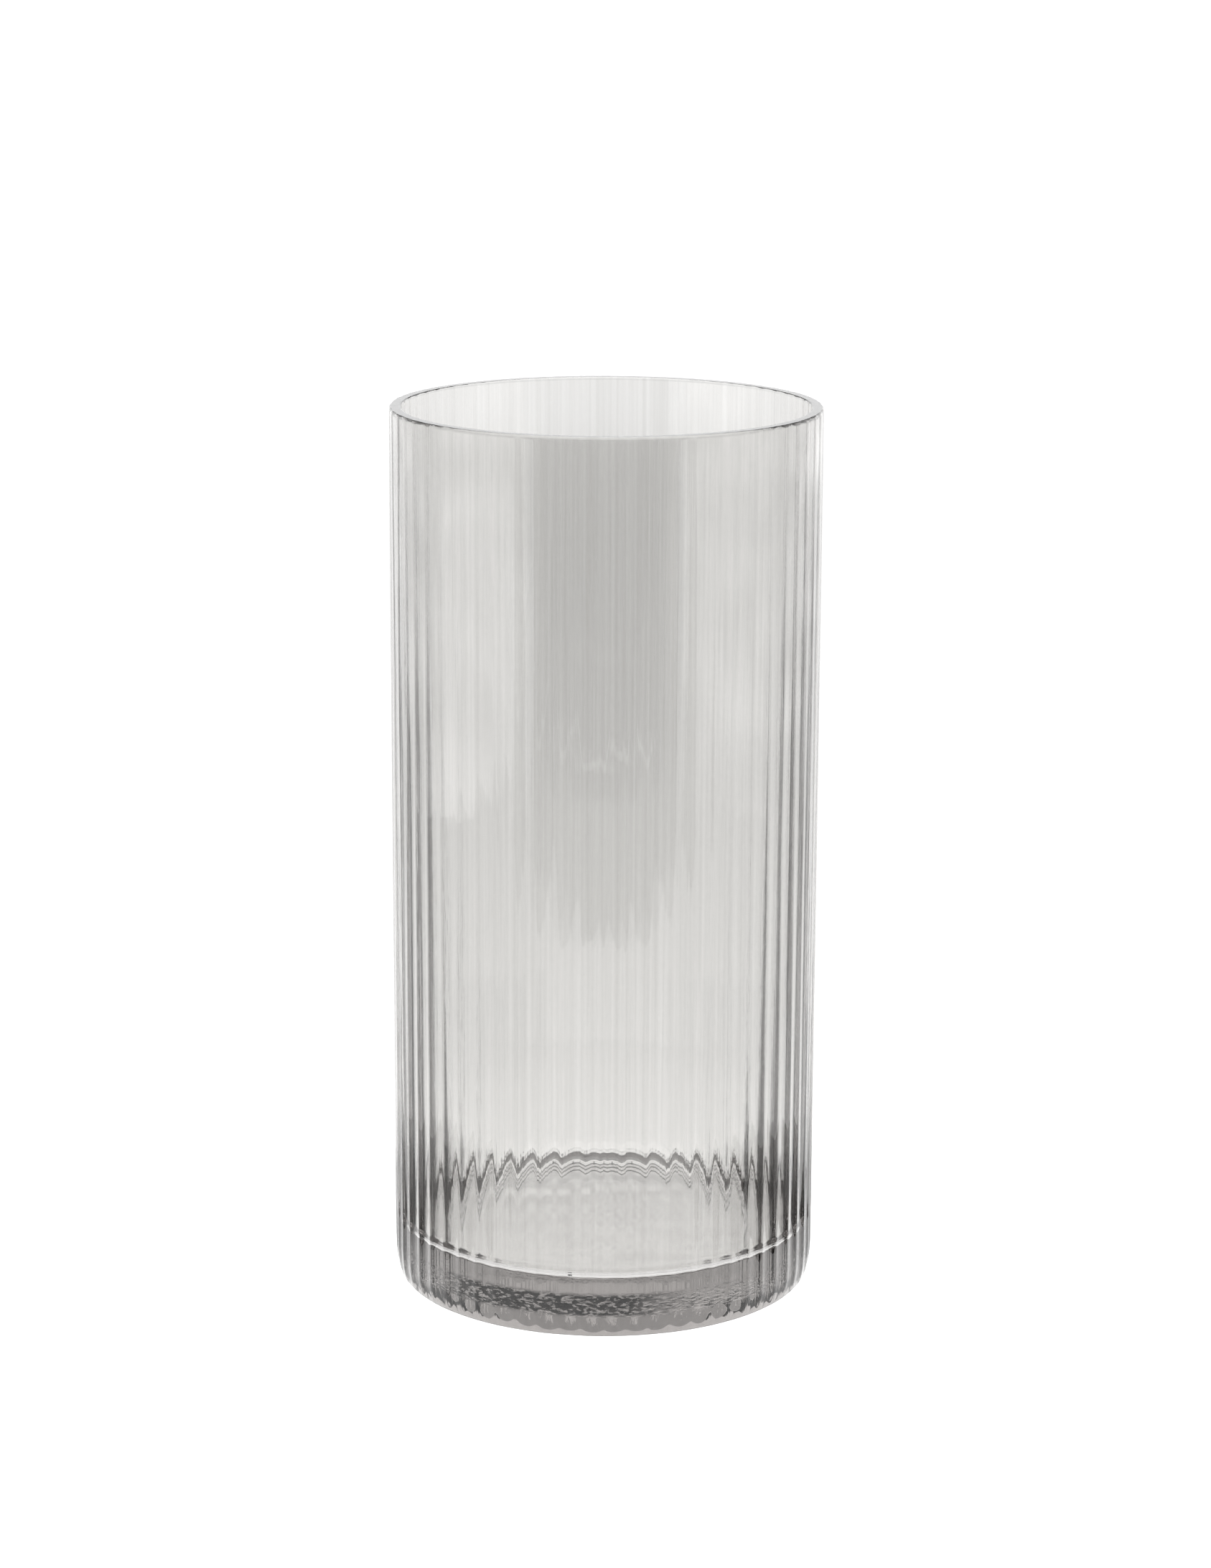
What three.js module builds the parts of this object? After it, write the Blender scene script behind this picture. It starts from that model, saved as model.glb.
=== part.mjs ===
// Glass cylinder vase: mould-blown in one piece, with fine vertical ribs, a thick base and a cut rim.
//
// The vase is a single body of glass. It is held here as three named regions that meet face to face
// on level planes, because each has its own job and its own cross-section:
//   base         the thick bottom, from the face it stands on to the inner floor, with the rounded heel
//   ribbed_wall  the cylinder wall, fluted outside and smooth inside, with the inner bottom corner
//   rim          the level polished top edge, with both corners eased
//
// Millimetres, +Z up. The origin is the centre of the face that the vase stands on.

import * as THREE from 'three';

// Driving dimensions
const HEIGHT = 250;
const OUTER_DIAMETER = 120; // over the rib crests
const WALL_THICKNESS = 3.5; // at a rib crest
const BASE_THICKNESS = 15.5;
const RIB_COUNT = 60;
const FLUTE_DEPTH = 0.5; // from the rib crest to the bottom of the flute beside it, just above the heel
const RIM_FLUTE_DEPTH = 0.12; // the same at the rim, as the flutes get shallower up the wall
const HEEL_WIDTH = 2; // how far the rounded heel reaches inwards
const HEEL_HEIGHT = 11; // and upwards
const INNER_CORNER_RADIUS = 5; // between the inner floor and the wall
const RIM_HEIGHT = 4; // of the region named rim
const RIM_OUTER_EASE = { width: 0.55, height: 1.05 };
const RIM_INNER_EASE = { width: 0.5, height: 0.5 };

// Steps of the faceted surface
const STEPS_PER_RIB = 4;
const HEEL_STEPS = 6;
const CORNER_STEPS = 4;
const RIM_EDGE_STEPS = 3;

const OUTER_RADIUS = OUTER_DIAMETER / 2;
const INNER_RADIUS = OUTER_RADIUS - WALL_THICKNESS;
const MID_WALL_RADIUS = OUTER_RADIUS - WALL_THICKNESS / 2;
const FLOOR_RADIUS = INNER_RADIUS - INNER_CORNER_RADIUS; // of the flat inner floor
const RIM_BOTTOM = HEIGHT - RIM_HEIGHT;
const QUARTER_TURN = Math.PI / 2;

const smokeGlass = new THREE.MeshStandardMaterial({
  name: 'smoke_glass',
  color: 0xc9c8c5,
  roughness: 0.05,
  metalness: 0,
  transparent: true,
  opacity: 0.45,
});

// Points of a quarter ellipse about a centre, from one angle to a quarter turn on, ends included.
function quarterArc(centreRadius, centreHeight, radialReach, verticalReach, startAngle, steps) {
  const points = [];
  for (let step = 0; step <= steps; step += 1) {
    const angle = startAngle + (QUARTER_TURN * step) / steps;
    const radius = centreRadius + radialReach * Math.cos(angle);
    const height = centreHeight + verticalReach * Math.sin(angle);
    points.push(new THREE.Vector2(radius, height));
  }
  return points;
}

// How deep the flutes are at a height: running out to nothing round the heel, and shallower up the wall.
function fluteDepthAt(height) {
  const heelShare = Math.sin(QUARTER_TURN * Math.min(height / HEEL_HEIGHT, 1));
  const wallDepth = FLUTE_DEPTH + ((RIM_FLUTE_DEPTH - FLUTE_DEPTH) * height) / HEIGHT;
  return wallDepth * heelShare;
}

// Presses the flutes into the outside of a turned shape: concave flutes that meet in narrow crests.
function pressFlutes(geometry) {
  const position = geometry.getAttribute('position');
  for (let index = 0; index < position.count; index += 1) {
    const x = position.getX(index);
    const y = position.getY(index);
    const z = position.getZ(index);
    const radius = Math.hypot(x, y);
    if (radius > MID_WALL_RADIUS || (z < BASE_THICKNESS && radius > OUTER_RADIUS - HEEL_WIDTH)) {
      const ribPhase = (Math.atan2(y, x) * RIB_COUNT) / 2;
      const pressed = radius - fluteDepthAt(z) * Math.abs(Math.sin(ribPhase));
      position.setXY(index, (x * pressed) / radius, (y * pressed) / radius);
    }
  }
  geometry.computeVertexNormals();
  return geometry;
}

// Turns an outline (radius, height) about the Z axis and gives it its flutes.
function makeRegion(name, outline) {
  const turned = new THREE.LatheGeometry(outline, RIB_COUNT * STEPS_PER_RIB);
  turned.rotateX(QUARTER_TURN);
  const region = new THREE.Mesh(pressFlutes(turned), smokeGlass);
  region.name = name;
  return region;
}

function baseOutline() {
  const heelCentre = OUTER_RADIUS - HEEL_WIDTH;
  return [
    new THREE.Vector2(0, 0),
    ...quarterArc(heelCentre, HEEL_HEIGHT, HEEL_WIDTH, HEEL_HEIGHT, -QUARTER_TURN, HEEL_STEPS),
    new THREE.Vector2(OUTER_RADIUS, BASE_THICKNESS),
    new THREE.Vector2(FLOOR_RADIUS, BASE_THICKNESS),
    new THREE.Vector2(0, BASE_THICKNESS),
  ];
}

function wallOutline() {
  const cornerHeight = BASE_THICKNESS + INNER_CORNER_RADIUS;
  const corner = quarterArc(
    FLOOR_RADIUS,
    cornerHeight,
    INNER_CORNER_RADIUS,
    INNER_CORNER_RADIUS,
    -QUARTER_TURN,
    CORNER_STEPS,
  );
  return [
    new THREE.Vector2(OUTER_RADIUS, BASE_THICKNESS),
    new THREE.Vector2(OUTER_RADIUS, RIM_BOTTOM),
    new THREE.Vector2(INNER_RADIUS, RIM_BOTTOM),
    ...corner.reverse(),
    new THREE.Vector2(OUTER_RADIUS, BASE_THICKNESS),
  ];
}

function rimOutline() {
  const easedEdge = (centreRadius, ease, startAngle) =>
    quarterArc(centreRadius, HEIGHT - ease.height, ease.width, ease.height, startAngle, RIM_EDGE_STEPS);
  return [
    new THREE.Vector2(OUTER_RADIUS, RIM_BOTTOM),
    ...easedEdge(OUTER_RADIUS - RIM_OUTER_EASE.width, RIM_OUTER_EASE, 0),
    ...easedEdge(INNER_RADIUS + RIM_INNER_EASE.width, RIM_INNER_EASE, QUARTER_TURN),
    new THREE.Vector2(INNER_RADIUS, RIM_BOTTOM),
    new THREE.Vector2(OUTER_RADIUS, RIM_BOTTOM),
  ];
}

const vase = new THREE.Group();
vase.add(makeRegion('base', baseOutline()));
vase.add(makeRegion('ribbed_wall', wallOutline()));
vase.add(makeRegion('rim', rimOutline()));

export default vase;
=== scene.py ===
"""Looks of the glass cylinder vase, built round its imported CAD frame.

The three CAD nodes are regions of one blown body of glass, so one closed mesh stands for all of them:
a turned outline with sixty flutes pressed into its outside, and the small unevenness of blown glass.
Sizes are in metres, in the CAD frame: +Z up, origin at the centre of the face the vase stands on.
"""

import math

import bpy
import numpy as np
from mathutils import Matrix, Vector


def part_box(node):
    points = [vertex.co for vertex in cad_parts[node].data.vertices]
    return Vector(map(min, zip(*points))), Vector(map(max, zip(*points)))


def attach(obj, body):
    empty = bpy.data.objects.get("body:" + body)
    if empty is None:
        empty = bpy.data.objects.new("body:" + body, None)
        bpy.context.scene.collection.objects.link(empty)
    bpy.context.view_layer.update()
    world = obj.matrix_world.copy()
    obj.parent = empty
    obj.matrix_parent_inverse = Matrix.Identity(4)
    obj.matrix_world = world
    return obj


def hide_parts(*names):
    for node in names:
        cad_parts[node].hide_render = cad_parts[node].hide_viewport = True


MM = 0.001
QUARTER_TURN = math.pi / 2

# The camera, as the photograph was taken
CAMERA_DISTANCE = 1.081
CAMERA_HEIGHT = 0.4052
CAMERA_OFFSET = 0.00014
CAMERA_PITCH = math.radians(13.65)
CAMERA_ROLL = math.radians(0.21)
CAMERA_LENS = 90.7
CAMERA_SENSOR = 36
CAMERA_REACH = 50

# Shape of the glass
RIB_COUNT = 60
RIB_PITCH = 2 * math.pi / RIB_COUNT
FLUTE_DEPTH = 0.50 * MM  # at the foot, getting shallower towards the rim
RIM_FLUTE_DEPTH = 0.12 * MM
CREST_SHARE = 0.24  # of the rib pitch, the rest being the concave flute
HEEL_WIDTH = 2.0 * MM
HEEL_HEIGHT = 11 * MM
INNER_CORNER_RADIUS = 5 * MM
CORNER_RIPPLE = 0.07 * MM  # height of the folds that run round the inner corner
CORNER_RIPPLES = 4
RIM_OUTER_RADIUS = 1.3 * MM
RIM_OUTER_TURN = math.radians(55)  # the rounding stops here, cut off by the level top
RIM_INNER_RADIUS = 0.5 * MM

# Fineness of the mesh
STEPS_PER_RIB = 12
UNDERSIDE_STEPS = 8
HEEL_STEPS = 16
OUTSIDE_STEPS = 22
RIM_OUTER_STEPS = 6
TOP_STEPS = 2
RIM_INNER_STEPS = 5
INSIDE_STEPS = 20
CORNER_STEPS = 28
FLOOR_STEPS = 16
EDGE_MARGIN = 0.05 * MM  # of the narrow strip that keeps a rounding's shading off the flat beside it

# Unevenness of the glass: the waves round it, counted, and the waves along it, by their length
RIB_WANDER = {"seed": 1, "amplitude": 0.045 * RIB_PITCH, "lobes": (3, 24), "wavelength": (0.15, 0.9)}
RIB_CHANGE = {"seed": 2, "amplitude": 0.25, "lobes": (5, 31), "wavelength": (0.1, 0.8)}
RIB_LEAN = {"seed": 7, "amplitude": 0.05 * MM, "lobes": (15, 30), "wavelength": (0.08, 0.25)}
INSIDE_WAVES = {"seed": 3, "amplitude": 0.07 * MM, "lobes": (3, 22), "wavelength": (0.08, 0.6), "waves": 22}
OUTSIDE_WAVES = {"seed": 4, "amplitude": 0.04 * MM, "lobes": (2, 9), "wavelength": (0.1, 0.5)}
FLOOR_WAVES = {"seed": 5, "amplitude": 0.04 * MM, "lobes": (2, 12), "wavelength": (0.012, 0.03)}
FLOOR_CALM = 12 * MM  # inside this radius the waves of the inner floor run out
HEEL_WAVES = {"seed": 6, "amplitude": 0.015 * MM, "lobes": (8, 40), "wavelength": (0.004, 0.012)}
HEEL_WAVES_TOP = 14 * MM
HEEL_WAVES_FADE = 4 * MM

# Glass: a smoke-grey surface over weakly absorbing glass
GLASS_IOR = 1.5
SMOKE_COLOUR = (0.62, 0.60, 0.593)
SMOKE_DENSITY = 23.0
PALE_TINT = (0.81, 0.806, 0.796)  # what gets through one surface
DEEP_TINT = (0.71, 0.705, 0.692)
TINT_SPAN = (0.3, 0.7)  # of the streak noise

# Fine upright streaks all over, which are ripples too above the base
STREAK_WIDTH = 1.25 * MM
STREAK_STRETCH = 0.008
STREAK_DETAIL = 4
STREAK_HEIGHT = 0.05 * MM
STREAK_BOTTOM = (16 * MM, 24 * MM)

# Mottling in a band round the heel, with painted shade at the front left: near-black blotches in the glass
# colour that stand in for shade seen through the heel
MOTTLE_RISE = (5.5 * MM, 7.0 * MM)
MOTTLE_FALL = (13.5 * MM, 12.0 * MM)
MOTTLE_SIZE = 1.8 * MM
MOTTLE_SQUASH = 2.5
MOTTLE_DETAIL = 2
MOTTLE_HEIGHT = 0.08 * MM
HEEL_SHADE_LEVELS = [(0.45, 0.01), (0.525, 0.03), (0.55, 1.0), (0.57, 0.15), (0.62, 1.0)]
HEEL_SHADE_SIDE = (-0.259, -0.966, 0)
HEEL_SHADE_FADE = (46 * MM, 55 * MM)

# White studio. A level is a radiance, and 1 shows as white
LEVEL_RANGE = 2  # ramps and curves hold levels as shares of this
BACKDROP_LEVEL = 1.1
SKY_TILT = -0.17  # raises the bands of the sky behind the vase
SKY_LEVELS = [
    (0.10, 1.5),
    (0.12, 0.04),
    (0.165, 0.04),
    (0.18, 0.6),
    (0.20, 1.3),
    (0.215, 0.7),
    (0.23, 1.2),
    (0.26, 0.6),
    (0.33, 0.6),
    (0.36, 0.02),
    (0.45, 0.02),
    (0.54, 0.20),
    (0.60, 1.8),
]
FLOOR_HALF = 4.0
FLOOR_DROP = 0.3 * MM  # keeps the floor clear of the underside
FLOOR_GREY = 0.25
# Painted light: the floor glows by itself, brightest round the vase and dimmer further out, a painted pool of
# light that also keeps shadow off it
FLOOR_GLOW_LEVELS = [  # by distance from the vase
    (0, 1.45),
    (0.06, 1.35),
    (0.12, 1.12),
    (0.3, 0.96),
    (0.8, 0.8),
    (1.4, 0.78),
    (1.8, 0.9),
    (4, 0.9),
]

# Boards lying round the table
IN_REFLECTIONS = "Glossy Depth"
THROUGH_GLASS = "Transmission Depth"
BOARD_PATCHES = 3.5  # of the unevenness of a board's level, to the metre
BOARD_PATCH_SPAN = (0.3, 0.7)
BOARD_UNEVENNESS = 0.3
BOARD_RISE = 2 * MM
TABLE_FRONT = 0.44
TABLE_SIDE = 0.60
BOARD_REACH = 4.0
GAP_HALF_ANGLE = math.radians(43)  # of the dark gap between the light boards, seen from the vase
GAP_LEVEL = 0.0
LIGHT_LEVEL = {"left": 2.1, "right": 1.6}
SIDE_SPLIT = 0.1  # where the light boards end and the duller ones behind them start
DULL_BACK = 1.5
DULL_LEVEL = 1.2
SEAM_NEAR = -0.718
SEAM_FAR = -0.735
SEAM_SIDES = (-3.0, 0.3)
SEAM_LEVEL = 1.0
SEAM_RISE = 3 * MM

# Painted shadow: dark patches lying behind the vase at both sides, seen only through the glass: the points of
# their inner edges, then how they widen
SHADOW_PATCH_EDGE = {
    "left": [(0.061, -0.03), (0.062, 0.0), (0.064, 0.04), (0.076, 0.08), (0.108, 0.125)],
    "right": [(0.061, -0.03), (0.060, 0.0), (0.060, 0.04), (0.068, 0.08), (0.100, 0.13)],
}
SHADOW_PATCH_SPREAD = {"left": 0.74, "right": 0.62}
SHADOW_PATCH_BACK = 1.2
SHADOW_PATCH_OUTER = [(1.66, 1.2), (0.12, -0.02)]
SHADOW_LEVEL = 0.02

# Parts of rings on the floor round the foot: inner and outer radius, and the angles they span
RING_STEPS = 64
FOLD = (85.0 * MM, 125.0 * MM)
FOLD_SPAN = (math.radians(30), math.radians(150))
FOLD_LEVEL = 1.0
FOLD_RISE = 1 * MM
# Painted shade: the dark line in the fold, a darker ring seen only in reflections
FOLD_LINE = (86.0 * MM, 91.0 * MM)
FOLD_LINE_SPAN = {
    "left": (math.radians(115), math.radians(150)),
    "right": (math.radians(30), math.radians(76)),
}
FOLD_LINE_LEVEL = {"left": 0.5, "right": 0.3}
CONTACT_RINGS = [
    (49.0 * MM, 50.2 * MM),
    (52.5 * MM, 53.7 * MM),
    (55.6 * MM, 56.6 * MM),
    (59.0 * MM, 61.0 * MM),
]
CONTACT_TURN = 1.9999 * math.pi  # just short of closing the ring on itself
CONTACT_LEVEL = 0.45
CONTACT_RISE = -0.15 * MM
SHADE = {"left": (58.5 * MM, 80 * MM), "right": (58.5 * MM, 105 * MM)}
SHADE_TURN = math.radians(38)
SHADE_RISE = -0.10 * MM
SIDE_SHADE = (100 * MM, 200 * MM)
SIDE_SHADE_FRONT = math.radians(35)
SIDE_SHADE_BACK = math.radians(15)
SIDE_SHADE_LEVEL = {"left": 0.35, "right": 0.05}
SIDE_SHADE_RISE = -0.05 * MM

# The two sides, by the sign of X and the direction they face
SIDES = {"left": (-1, math.pi), "right": (1, 0.0)}


def make_camera():
    data = bpy.data.cameras.new("camera")
    data.lens = CAMERA_LENS
    data.sensor_width = CAMERA_SENSOR
    data.clip_end = CAMERA_REACH
    camera = bpy.data.objects.new("camera", data)
    place = Matrix.Translation((CAMERA_OFFSET, -CAMERA_DISTANCE, CAMERA_HEIGHT))
    aim = Matrix.Rotation(QUARTER_TURN - CAMERA_PITCH, 4, "X")
    roll = Matrix.Rotation(CAMERA_ROLL, 4, "Z")
    camera.matrix_world = place @ aim @ roll
    bpy.context.scene.collection.objects.link(camera)
    bpy.context.scene.camera = camera


# Shape


class Unevenness:
    """Smooth ripples over the glass: a sum of waves round and along it, of about the amplitude given."""

    def __init__(self, seed, amplitude, lobes, wavelength, waves=14):
        draw = np.random.default_rng(seed)
        self.lobes = draw.integers(lobes[0], lobes[1] + 1, waves)
        self.rate = 2 * np.pi / draw.uniform(wavelength[0], wavelength[1], waves)
        self.phase = draw.uniform(0, 2 * np.pi, (2, waves))
        self.weight = amplitude * draw.uniform(0.4, 1, waves) / math.sqrt(waves / 2)

    def at(self, angle, along):
        total = np.zeros(np.broadcast(angle, along).shape)
        for lobes, rate, one, two, weight in zip(self.lobes, self.rate, *self.phase, self.weight):
            total += weight * np.sin(lobes * angle + one) * np.sin(rate * along + two)
        return total


def share_of(value, start, end):
    """How far the value is from start to end, from 0 to 1."""
    return np.clip((value - start) / (end - start), 0, 1)


def flute(angle):
    """Share of the flute depth at each angle: 0 on a narrow round crest, 1 at the bottom of a wide flute."""
    distance = np.abs((angle / RIB_PITCH + 0.5) % 1 - 0.5)
    edge = CREST_SHARE / 2
    crest = edge * 2 * (distance / edge) ** 2
    hollow = 1 - (1 - 2 * edge) * ((0.5 - distance) / (0.5 - edge)) ** 2
    return np.where(distance < edge, crest, hollow)


def arc(centre, reach, start, steps, turn=QUARTER_TURN):
    """Points of part of an ellipse, from the start angle a quarter turn on unless told otherwise."""
    angles = start + np.linspace(0, turn, steps + 1)
    return np.stack([centre[0] + reach[0] * np.cos(angles), centre[1] + reach[1] * np.sin(angles)], 1)


def line(start, end, steps):
    """Points between two others, with one close to each end."""
    start, end = np.array(start), np.array(end)
    step = (end - start) / np.linalg.norm(end - start) * EDGE_MARGIN
    return np.concatenate([[start + step], np.linspace(start, end, steps + 1)[1:-1], [end - step]])


def inner_corner(inner, floor):
    """Rippled rounding between the wall and the inner floor, from the wall down."""
    centre = (inner - INNER_CORNER_RADIUS, floor + INNER_CORNER_RADIUS)
    corner = arc(centre, (INNER_CORNER_RADIUS, INNER_CORNER_RADIUS), -QUARTER_TURN, CORNER_STEPS)[::-1]
    along = np.linspace(0, 1, len(corner))[:, None]
    ripple = CORNER_RIPPLE * np.sin(math.pi * along) * np.sin(2 * math.pi * CORNER_RIPPLES * along)
    return corner + (corner - centre) / INNER_CORNER_RADIUS * ripple


def vase_outline(outer, inner, height, floor):
    """Half section of the vase, from the middle of its underside round to the middle of its inner floor.
    Returns the points (radius, height) and how far each follows the fluted outside, from 0 to 1."""
    heel = arc((outer - HEEL_WIDTH, HEEL_HEIGHT), (HEEL_WIDTH, HEEL_HEIGHT), -QUARTER_TURN, HEEL_STEPS)
    outer_centre = (outer - RIM_OUTER_RADIUS, height - RIM_OUTER_RADIUS * math.sin(RIM_OUTER_TURN))
    outer_reach = (RIM_OUTER_RADIUS, RIM_OUTER_RADIUS)
    outer_edge = arc(outer_centre, outer_reach, 0, RIM_OUTER_STEPS, RIM_OUTER_TURN)
    inner_centre = (inner + RIM_INNER_RADIUS, height - RIM_INNER_RADIUS)
    inner_reach = (RIM_INNER_RADIUS, RIM_INNER_RADIUS)
    inner_edge = arc(inner_centre, inner_reach, QUARTER_TURN, RIM_INNER_STEPS)
    corner = inner_corner(inner, floor)
    floor_middle = (0, floor)

    under = np.concatenate([[(0, 0)], line((0, 0), heel[0], UNDERSIDE_STEPS)])
    outside = np.concatenate([heel, line(heel[-1], outer_edge[0], OUTSIDE_STEPS), outer_edge])
    top = line(outer_edge[-1], inner_edge[0], TOP_STEPS)
    wall = line(inner_edge[-1], corner[0], INSIDE_STEPS)
    inner_floor = line(corner[-1], floor_middle, FLOOR_STEPS)
    within = np.concatenate([inner_edge, wall, corner, inner_floor, [floor_middle]])

    across_top = (top[:, 0] - inner_edge[0, 0]) / (outer_edge[-1, 0] - inner_edge[0, 0])
    points = np.concatenate([under, outside, top, within])
    outward = np.concatenate([np.zeros(len(under)), np.ones(len(outside)), across_top, np.zeros(len(within))])
    return points, outward[:, None]


def vase_surface(outer, inner, height, floor):
    """Points of the glass, in rows round the vase that follow its outline."""
    points, outward = vase_outline(outer, inner, height, floor)
    around = RIB_COUNT * STEPS_PER_RIB
    angle = np.linspace(0, 2 * np.pi, around, endpoint=False)[None, :]
    radius = np.repeat(points[:, :1], around, 1)
    z = np.repeat(points[:, 1:], around, 1)

    heel_share = np.sin(QUARTER_TURN * np.clip(z / HEEL_HEIGHT, 0, 1))
    depth = FLUTE_DEPTH + (RIM_FLUTE_DEPTH - FLUTE_DEPTH) * np.clip(z / height, 0, 1)
    depth = depth * (1 + Unevenness(**RIB_CHANGE).at(angle, z))
    wandered = angle + Unevenness(**RIB_WANDER).at(angle, z)
    radius = radius - depth * heel_share * outward * flute(wandered)

    above_corner = share_of(z, floor, floor + INNER_CORNER_RADIUS)
    radius = radius + (1 - outward) * above_corner * Unevenness(**INSIDE_WAVES).at(angle, z)
    outside_waves = Unevenness(**OUTSIDE_WAVES).at(angle, z) + Unevenness(**RIB_LEAN).at(angle, z)
    radius = radius + outward * outside_waves

    # The mould leaves the inner floor and the heel wavier than the wall
    on_floor = (outward == 0) & (z >= floor) & (z < floor + INNER_CORNER_RADIUS)
    wave_share = share_of(radius, 0, FLOOR_CALM) * (1 - above_corner)
    z = z + on_floor * wave_share * Unevenness(**FLOOR_WAVES).at(angle, radius)
    low = share_of(z, HEEL_WAVES_TOP, HEEL_WAVES_TOP - HEEL_WAVES_FADE)
    radius = radius + low * outward * Unevenness(**HEEL_WAVES).at(angle, z)
    return np.stack([radius * np.cos(angle), radius * np.sin(angle), z], 2)


def closed_mesh(name, grid):
    """Closes a grid of points, whose first and last rows are each one point on the axis, with faces."""
    row_count, around = grid.shape[0] - 2, grid.shape[1]
    vertices = np.concatenate([grid[:1, 0], grid[1:-1].reshape(-1, 3), grid[-1:, 0]])
    last = len(vertices) - 1
    end = last - around
    faces = []
    for i in range(around):
        j = (i + 1) % around
        faces.append((0, 1 + j, 1 + i))
        for row in range(row_count - 1):
            a = 1 + row * around
            b = a + around
            faces.append((a + i, a + j, b + j, b + i))
        faces.append((end + i, end + j, last))

    mesh = bpy.data.meshes.new(name)
    mesh.from_pydata(vertices.tolist(), [], faces)
    mesh.update()
    mesh.shade_smooth()
    return mesh


# Materials


class NodeTree:
    """Adds nodes to a material or a world. An input is given a value, or the output that feeds it."""

    def __init__(self, owner):
        owner.use_nodes = True
        self.nodes = owner.node_tree.nodes
        self.links = owner.node_tree.links

    def feed(self, node, inputs):
        for socket, value in inputs.items():
            if isinstance(value, bpy.types.NodeSocket):
                self.links.new(value, node.inputs[socket])
            else:
                node.inputs[socket].default_value = value

    def add(self, kind, inputs, **settings):
        node = self.nodes.new("ShaderNode" + kind)
        for setting, value in settings.items():
            setattr(node, setting, value)
        self.feed(node, inputs)
        return node

    def maths(self, operation, *values):
        return self.add("Math", dict(enumerate(values)), operation=operation).outputs[0]

    def vector_maths(self, operation, output, *values):
        return self.add("VectorMath", dict(enumerate(values)), operation=operation).outputs[output]

    def noise(self, place, scale, detail):
        return self.add("TexNoise", {"Vector": place, "Scale": scale, "Detail": detail}).outputs["Fac"]

    def span(self, value, start, end, low=0.0, high=1.0, interpolation="LINEAR"):
        """Runs from low to high as the value runs from start to end."""
        inputs = {"Value": value, "From Min": start, "From Max": end, "To Min": low, "To Max": high}
        return self.add("MapRange", inputs, interpolation_type=interpolation).outputs["Result"]

    def ramp(self, value, stops, interpolation="LINEAR"):
        node = self.add("ValToRGB", {"Fac": value})
        node.color_ramp.interpolation = interpolation
        for index, (position, colour) in enumerate(stops):
            stop = node.color_ramp.elements[index] if index < 2 else node.color_ramp.elements.new(position)
            stop.position = position
            stop.color = (*colour, 1)
        return node.outputs["Color"]

    def place(self, output="Object"):
        return self.add("TexCoord", {}).outputs[output]


def grey(level):
    return (level, level, level)


def make_glass():
    material = bpy.data.materials.new("smoke_glass")
    tree = NodeTree(material)
    shader = tree.nodes["Principled BSDF"]
    tree.feed(shader, {"Roughness": 0.0, "IOR": GLASS_IOR, "Transmission Weight": 1})
    smoke = tree.add("VolumeAbsorption", {"Color": (*SMOKE_COLOUR, 1), "Density": SMOKE_DENSITY})
    tree.feed(tree.nodes["Material Output"], {"Volume": smoke.outputs["Volume"]})

    place = tree.place()
    height = tree.add("SeparateXYZ", {0: place}).outputs["Z"]
    drawn_out = tree.vector_maths("MULTIPLY", 0, place, (1, 1, STREAK_STRETCH))
    streaks = tree.noise(drawn_out, 1 / STREAK_WIDTH, STREAK_DETAIL)
    squashed = tree.vector_maths("MULTIPLY", 0, place, (1, 1, MOTTLE_SQUASH))
    mottle = tree.noise(squashed, 1 / MOTTLE_SIZE, MOTTLE_DETAIL)

    rise = tree.span(height, *MOTTLE_RISE, interpolation="SMOOTHSTEP")
    fall = tree.span(height, *MOTTLE_FALL, interpolation="SMOOTHSTEP")
    band = tree.maths("MULTIPLY", rise, fall)
    towards = tree.vector_maths("DOT_PRODUCT", "Value", place, HEEL_SHADE_SIDE)
    front_left = tree.span(towards, *HEEL_SHADE_FADE, interpolation="SMOOTHSTEP")

    tint = tree.ramp(streaks, zip(TINT_SPAN, (DEEP_TINT, PALE_TINT)))
    # Painted shade: near-black blotches in the base colour of the heel band, on its front-left side only
    painted_shade = tree.ramp(mottle, [(amount, grey(level)) for amount, level in HEEL_SHADE_LEVELS])
    # A colour mix takes its factor at 0 and its colours at 6 and 7
    colours = {0: tree.maths("MULTIPLY", band, front_left), 6: tint, 7: painted_shade}
    tint_and_shade = tree.add("Mix", colours, data_type="RGBA", blend_type="MULTIPLY")

    above_base = tree.span(height, *STREAK_BOTTOM)
    bumps = tree.add("Bump", {"Distance": MOTTLE_HEIGHT, "Strength": band, "Height": mottle})
    bump_inputs = {"Distance": STREAK_HEIGHT, "Strength": above_base, "Height": streaks}
    ripples = tree.add("Bump", {**bump_inputs, "Normal": bumps.outputs["Normal"]})
    tree.feed(shader, {"Base Color": tint_and_shade.outputs[2], "Normal": ripples.outputs["Normal"]})
    return material


# Painted light: a floor that glows, most strongly round the vase
def make_glowing_floor():
    material = bpy.data.materials.new("glowing_floor")
    tree = NodeTree(material)
    distance = tree.vector_maths("LENGTH", "Value", tree.place())
    curved = tree.add("FloatCurve", {"Value": tree.maths("DIVIDE", distance, FLOOR_HALF)})
    curve = curved.mapping.curves[0]
    for index, (reach, level) in enumerate(FLOOR_GLOW_LEVELS):
        spot = (reach / FLOOR_HALF, level / LEVEL_RANGE)
        if index < 2:
            curve.points[index].location = spot
        else:
            curve.points.new(*spot)
    curved.mapping.update()
    finish = {
        "Base Color": (*grey(FLOOR_GREY), 1),
        "Roughness": 1.0,
        "Specular IOR Level": 0.0,
        "Emission Color": (*grey(1), 1),
        "Emission Strength": tree.maths("MULTIPLY", curved.outputs[0], LEVEL_RANGE),
    }
    tree.feed(tree.nodes["Principled BSDF"], finish)
    return material


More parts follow.
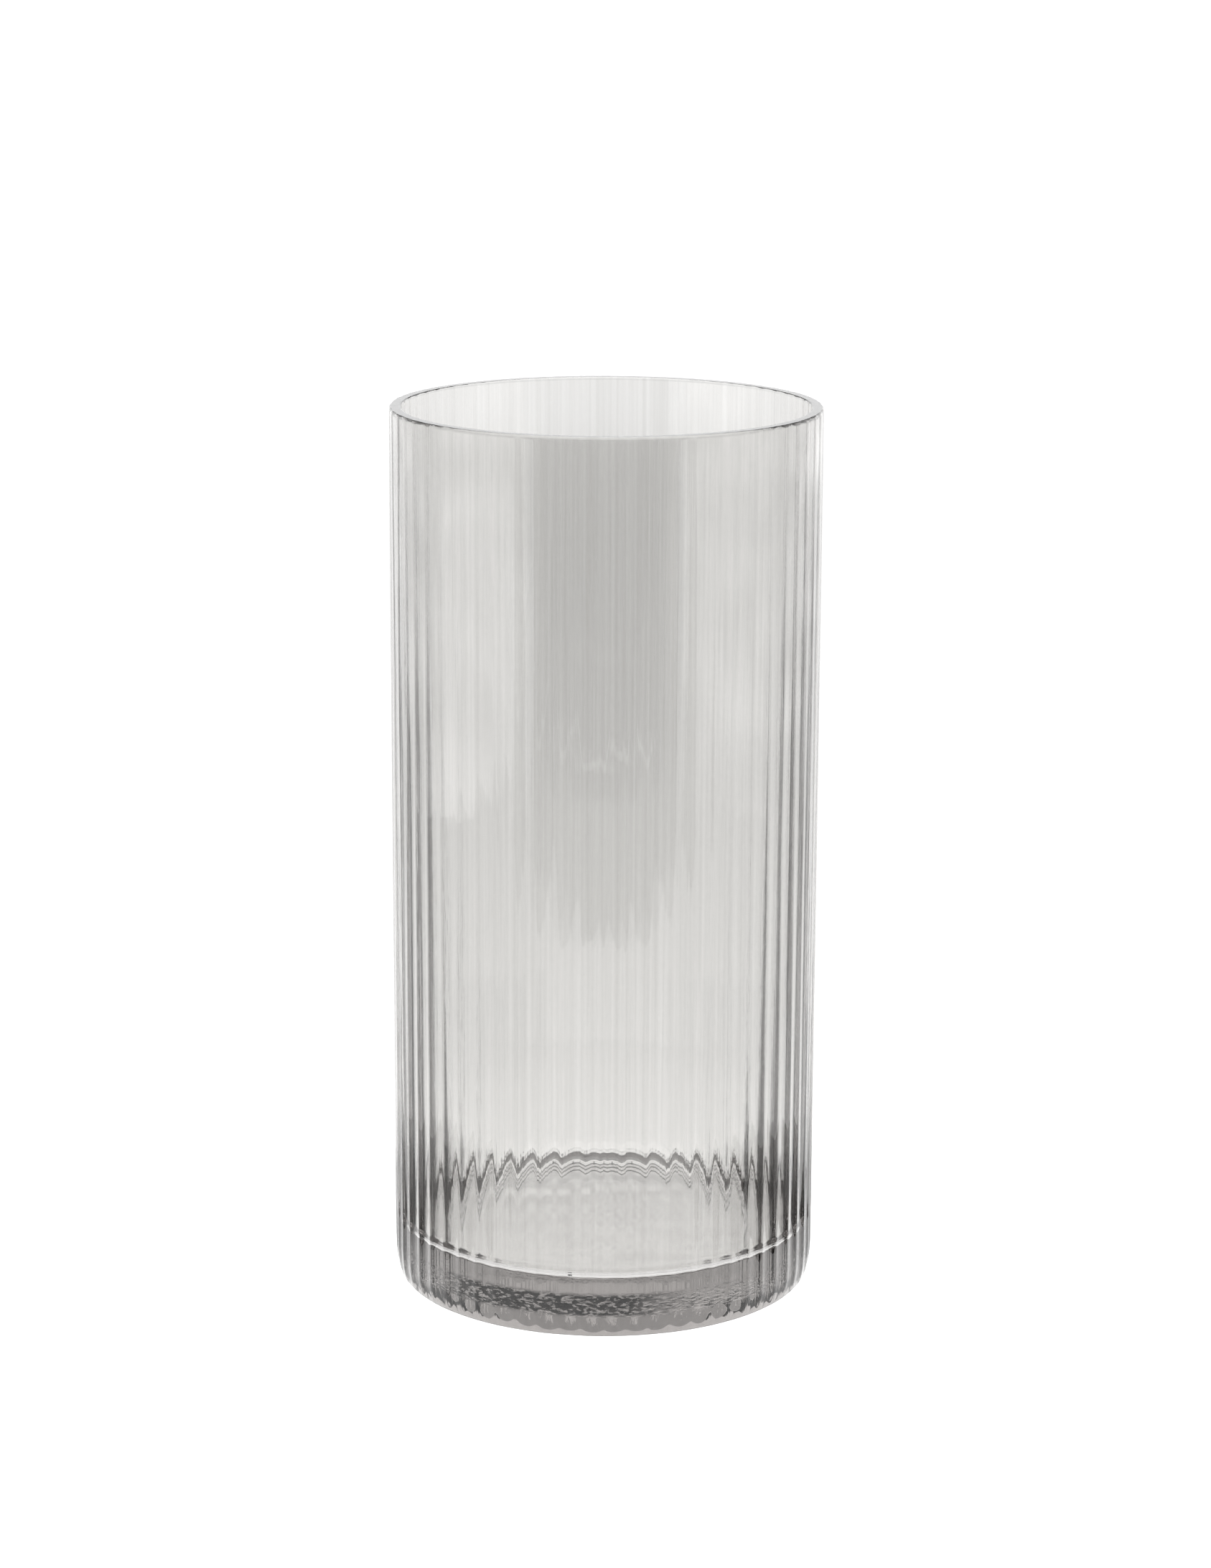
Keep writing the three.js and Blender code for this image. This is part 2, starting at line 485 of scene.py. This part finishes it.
def make_board_material(name, level, seen_by):
    """Glows a little unevenly to the rays that see it, and is clear to the others."""
    material = bpy.data.materials.new(name)
    tree = NodeTree(material)
    tree.nodes.clear()
    depth = tree.add("LightPath", {}).outputs[seen_by]
    patches = tree.noise(tree.place(), BOARD_PATCHES, 1)
    low, high = level * (1 - BOARD_UNEVENNESS), level * (1 + BOARD_UNEVENNESS)
    glow = tree.add("Emission", {"Strength": tree.span(patches, *BOARD_PATCH_SPAN, low, high)})
    clear = tree.add("BsdfTransparent", {})
    seen = tree.maths("GREATER_THAN", depth, 0.5)
    mixed = tree.add("MixShader", {0: seen, 1: clear.outputs[0], 2: glow.outputs[0]})
    tree.add("OutputMaterial", {"Surface": mixed.outputs[0]})
    return material


# The vase, and the studio round it


def make_vase(frame):
    rim = np.array([vertex.co for vertex in frame["nodes"]["rim"].data.vertices])
    radii = np.hypot(rim[:, 0], rim[:, 1])
    height = rim[:, 2].max()
    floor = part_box("base")[1].z
    grid = vase_surface(radii.max(), radii.min(), height, floor)
    vase = bpy.data.objects.new("vase_glass", closed_mesh("vase_glass", grid))
    vase.data.materials.append(make_glass())
    bpy.context.scene.collection.objects.link(vase)
    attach(vase, "root")
    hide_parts("base", "ribbed_wall", "rim")


def make_floor():
    bpy.ops.mesh.primitive_plane_add(size=2 * FLOOR_HALF)
    floor = bpy.context.object
    floor.name = "floor"
    floor.location.z = -FLOOR_DROP
    floor.data.materials.append(make_glowing_floor())


def make_board(name, corners, level, seen_by=IN_REFLECTIONS, rise=BOARD_RISE):
    """A level board lying at or near the floor, shown only in reflections or only through glass."""
    mesh = bpy.data.meshes.new(name)
    mesh.from_pydata([(x, y, rise) for x, y in corners], [], [range(len(corners))])
    mesh.materials.append(make_board_material(name, level, seen_by))
    board = bpy.data.objects.new(name, mesh)
    bpy.context.scene.collection.objects.link(board)


def make_table_boards():
    """What lies past the table, as the glass reflects it: a dark gap in front between two light boards,
    duller boards behind them, and a pale seam across the gap."""
    near, far = TABLE_FRONT, BOARD_REACH
    spread = math.tan(GAP_HALF_ANGLE)
    gap = [(-near * spread, -near), (near * spread, -near), (far * spread, -far), (-far * spread, -far)]
    make_board("dark_front", gap, GAP_LEVEL)
    left, right = SEAM_SIDES
    seam = [(left, SEAM_FAR), (right, SEAM_FAR), (right, SEAM_NEAR), (left, SEAM_NEAR)]
    make_board("seam", seam, SEAM_LEVEL, rise=SEAM_RISE)
    for name, (side, _) in SIDES.items():
        light = [
            (side * TABLE_SIDE, SIDE_SPLIT),
            (side * TABLE_SIDE, -near),
            (side * near * spread, -near),
            (side * far * spread, -far),
            (side * far, -far),
            (side * far, SIDE_SPLIT),
        ]
        dull = [
            (side * TABLE_SIDE, SIDE_SPLIT),
            (side * far, SIDE_SPLIT),
            (side * far, DULL_BACK),
            (side * TABLE_SIDE, DULL_BACK),
        ]
        make_board("light_" + name, light[::side], LIGHT_LEVEL[name])
        make_board("dark_" + name, dull[::side], DULL_LEVEL)


def make_shadow_patches():
    """Painted shadow: dark patches lying behind the vase at both sides, seen only through the glass, which
    draw its edges.
    """
    for name, (side, _) in SIDES.items():
        edge = SHADOW_PATCH_EDGE[name]
        tip = (edge[-1][0] + SHADOW_PATCH_SPREAD[name] * (SHADOW_PATCH_BACK - edge[-1][1]), SHADOW_PATCH_BACK)
        shadow_outline = [(side * x, y) for x, y in edge + [tip] + SHADOW_PATCH_OUTER]
        make_board("shadow_patch_" + name, shadow_outline[::side], SHADOW_LEVEL, THROUGH_GLASS)


def ring_part(radii, start, end):
    """Outline of part of a ring about the vase, between two angles."""
    angles = np.linspace(start, end, RING_STEPS + 1)
    inner, outer = radii
    there = [(outer * math.cos(angle), outer * math.sin(angle)) for angle in angles]
    back = [(inner * math.cos(angle), inner * math.sin(angle)) for angle in angles[::-1]]
    return there + back


def make_foot_shades():
    """The fold of the backdrop behind the foot with its dark line of painted shade, as reflected in the heel,
    the contact shadow under the foot, and the shade beside it."""
    make_board("fold", ring_part(FOLD, *FOLD_SPAN), FOLD_LEVEL, rise=FOLD_RISE)
    for name, span in FOLD_LINE_SPAN.items():
        make_board("fold_line_" + name, ring_part(FOLD_LINE, *span), FOLD_LINE_LEVEL[name])
    for index, ring in enumerate(CONTACT_RINGS):
        corners = ring_part(ring, 0, CONTACT_TURN)
        make_board(f"contact_{index}", corners, CONTACT_LEVEL, THROUGH_GLASS, CONTACT_RISE)
    for name, (side, facing) in SIDES.items():
        corners = ring_part(SHADE[name], facing - SHADE_TURN, facing + SHADE_TURN)
        make_board("shade_" + name, corners, SHADOW_LEVEL, THROUGH_GLASS, SHADE_RISE)
        ends = sorted([facing - side * SIDE_SHADE_FRONT, facing + side * SIDE_SHADE_BACK])
        corners = ring_part(SIDE_SHADE, *ends)
        make_board("side_" + name, corners, SIDE_SHADE_LEVEL[name], rise=SIDE_SHADE_RISE)


def make_light():
    """White all round, but reflections see bands of light and dark by their height, as of studio boxes."""
    world = bpy.data.worlds.new("studio")
    bpy.context.scene.world = world
    tree = NodeTree(world)
    direction = tree.add("SeparateXYZ", {0: tree.place("Generated")})
    behind = tree.maths("MAXIMUM", direction.outputs["Y"], 0)
    lift = tree.maths("MULTIPLY_ADD", behind, SKY_TILT, direction.outputs["Z"])
    stops = [(rise, grey(level / LEVEL_RANGE)) for rise, level in SKY_LEVELS]
    sky = tree.maths("MULTIPLY", tree.ramp(lift, stops, "EASE"), LEVEL_RANGE)
    depth = tree.add("LightPath", {}).outputs[IN_REFLECTIONS]
    reflected = tree.maths("GREATER_THAN", depth, 0.5)
    strength = tree.add("Mix", {"Factor": reflected, "A": BACKDROP_LEVEL, "B": sky})
    background = tree.nodes["Background"]
    tree.feed(background, {"Color": (*grey(1), 1), "Strength": strength.outputs["Result"]})


def set_rendering():
    scene = bpy.context.scene
    scene.view_settings.view_transform = "Standard"
    scene.cycles.max_bounces = 32
    scene.cycles.transmission_bounces = 32
    scene.cycles.glossy_bounces = 16
    scene.cycles.diffuse_bounces = 4


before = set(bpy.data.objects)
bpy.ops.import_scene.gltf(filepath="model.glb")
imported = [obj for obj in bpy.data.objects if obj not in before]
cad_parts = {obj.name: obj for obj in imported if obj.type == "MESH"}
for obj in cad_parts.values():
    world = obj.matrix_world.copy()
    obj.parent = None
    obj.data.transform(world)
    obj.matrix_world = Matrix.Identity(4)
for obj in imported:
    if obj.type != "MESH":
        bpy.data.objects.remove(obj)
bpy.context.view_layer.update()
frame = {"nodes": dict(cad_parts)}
make_camera()
make_vase(frame)
make_floor()
make_table_boards()
make_shadow_patches()
make_foot_shades()
make_light()
set_rendering()
